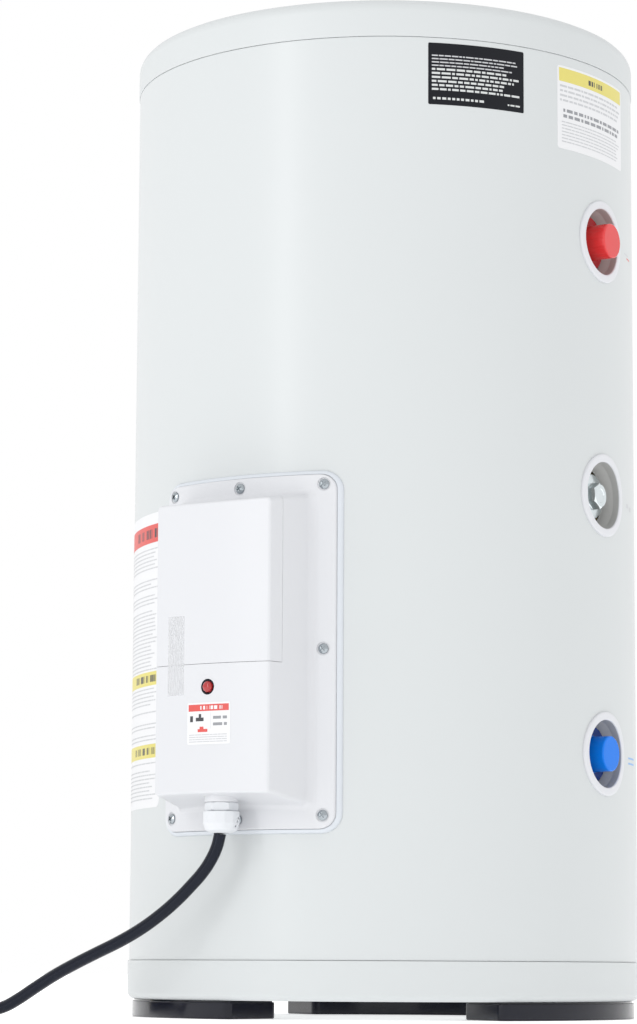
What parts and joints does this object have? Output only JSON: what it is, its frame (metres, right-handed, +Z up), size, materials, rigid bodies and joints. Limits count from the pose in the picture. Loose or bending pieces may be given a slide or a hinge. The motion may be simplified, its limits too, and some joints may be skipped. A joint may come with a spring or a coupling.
{
  "type": "tank water heater",
  "caption": "Upright cylindrical electric tank water heater with side pipe ports under coloured caps, a curved control box with a reset button, block feet and a power cord with plug.",
  "frame": {"origin": "on the floor, under the centre of the outline of the heater without its cord; the tank axis stands 4.4 mm towards -X and 25.75 mm towards +Y of it", "axes": "+Z up along the tank, -Y out of the control box on the front, +X out of the three pipe ports"},
  "size_m": [0.6985, 0.5038, 0.8645],
  "materials": {
    "white_enamel": "smooth semi-gloss powder coat",
    "white_shell_plastic": "moulded, semi-gloss",
    "white_box_plastic": "moulded, semi-gloss, faint grain",
    "trim_plastic": "moulded, satin",
    "black_plastic": "moulded, glossy",
    "red_plastic": "soft moulded cap, satin",
    "blue_plastic": "soft moulded cap, satin",
    "red_button": "translucent red, glossy",
    "white_nylon": "moulded nylon",
    "zinc_plate": "bright zinc plate",
    "steel": "plain",
    "tank_enamel": "vitreous enamel",
    "brass": "machined",
    "magnesium": "cast, dull",
    "copper": "drawn tube",
    "foam": "foamed in place",
    "black_rubber": "moulded",
    "cord_rubber": "jacketed cord, satin",
    "phenolic": "moulded phenolic",
    "wire_black": "insulated wire",
    "wire_white": "insulated wire",
    "wire_green": "insulated wire"
  },
  "bodies": {
    "heater": {"jacket": "white_enamel", "top_cover": "white_shell_plastic", "base_pan": "white_shell_plastic", "foot_front": "black_plastic", "foot_right": "black_plastic", "foot_rear": "black_plastic", "foot_bolt_front": "zinc_plate", "foot_bolt_right": "zinc_plate", "foot_bolt_rear": "zinc_plate", "inner_tank": "tank_enamel", "insulation_foam": "foam", "port_trim_cold": "trim_plastic", "port_trim_anode": "trim_plastic", "port_trim_hot": "trim_plastic", "nipple_cold": "brass", "nipple_hot": "brass", "hot_outlet_pipe": "copper", "cold_inlet_pipe": "copper", "control_housing": "white_box_plastic", "housing_gasket": "white_box_plastic", "gland_body": "white_nylon", "gland_nut": "white_nylon", "element_flange": "steel", "element_gasket": "black_rubber", "heating_element": "copper", "thermowell": "copper", "capillary_bulb": "copper", "thermostat_body": "phenolic", "high_limit_switch": "phenolic", "terminal_block": "phenolic", "wire_live": "wire_black", "wire_neutral": "wire_white", "wire_earth": "wire_green", "power_cord": "cord_rubber", "cord_coil": "cord_rubber", "cord_tail": "cord_rubber", "plug_body": "cord_rubber", "plug_blade_live": "brass", "plug_blade_neutral": "brass", "plug_ground_pin": "brass", "housing_screw_low_left": "zinc_plate", "housing_screw_middle_left": "zinc_plate", "housing_screw_high_left": "zinc_plate", "housing_screw_low_right": "zinc_plate", "housing_screw_middle_right": "zinc_plate", "housing_screw_high_right": "zinc_plate", "housing_screw_top": "zinc_plate", "housing_screw_bottom": "zinc_plate", "element_bolt_1": "zinc_plate", "element_bolt_2": "zinc_plate", "element_bolt_3": "zinc_plate", "element_bolt_4": "zinc_plate"},
    "access_cover": {"access_cover": "white_box_plastic"},
    "reset_button": {"reset_button": "red_button"},
    "thermostat_dial": {"thermostat_dial": "black_plastic"},
    "cap_cold": {"cap_cold": "blue_plastic"},
    "cap_hot": {"cap_hot": "red_plastic"},
    "anode_washer": {"anode_gasket": "black_rubber"},
    "anode": {"anode_plug": "zinc_plate", "anode_rod": "magnesium"}
  },
  "joints": [
    {"name": "access_cover_lift_off", "type": "slide", "parent": "heater", "child": "access_cover", "axis": [0, -1, 0], "range_m": [0, 0.1]},
    {"name": "reset_button_press", "type": "slide", "parent": "heater", "child": "reset_button", "axis": [0, 1, 0], "range_m": [0, 0.0025], "stiffness_N_per_m": 300, "springref_m": -0.001},
    {"name": "thermostat_turn", "type": "hinge", "parent": "heater", "child": "thermostat_dial", "pos_m": [-0.0044, -0.23425, 0.375], "axis": [0, 1, 0], "range_deg": [0, 270]},
    {"name": "cap_cold_pull", "type": "slide", "parent": "heater", "child": "cap_cold", "axis": [1, 0, 0], "range_m": [0, 0.04]},
    {"name": "cap_hot_pull", "type": "slide", "parent": "heater", "child": "cap_hot", "axis": [1, 0, 0], "range_m": [0, 0.04]},
    {"name": "anode_travel", "type": "slide", "parent": "heater", "child": "anode_washer", "axis": [1, 0, 0], "range_m": [0, 0.0091]},
    {"name": "anode_turn", "type": "hinge", "parent": "anode_washer", "child": "anode", "pos_m": [0.2106, 0.02575, 0.45], "axis": [1, 0, 0], "range_deg": [0, 1800]}
  ],
  "couplings": [
    {"joint": "anode_travel", "follows": "anode_turn", "m_per_rad": 0.00028875}
  ]
}
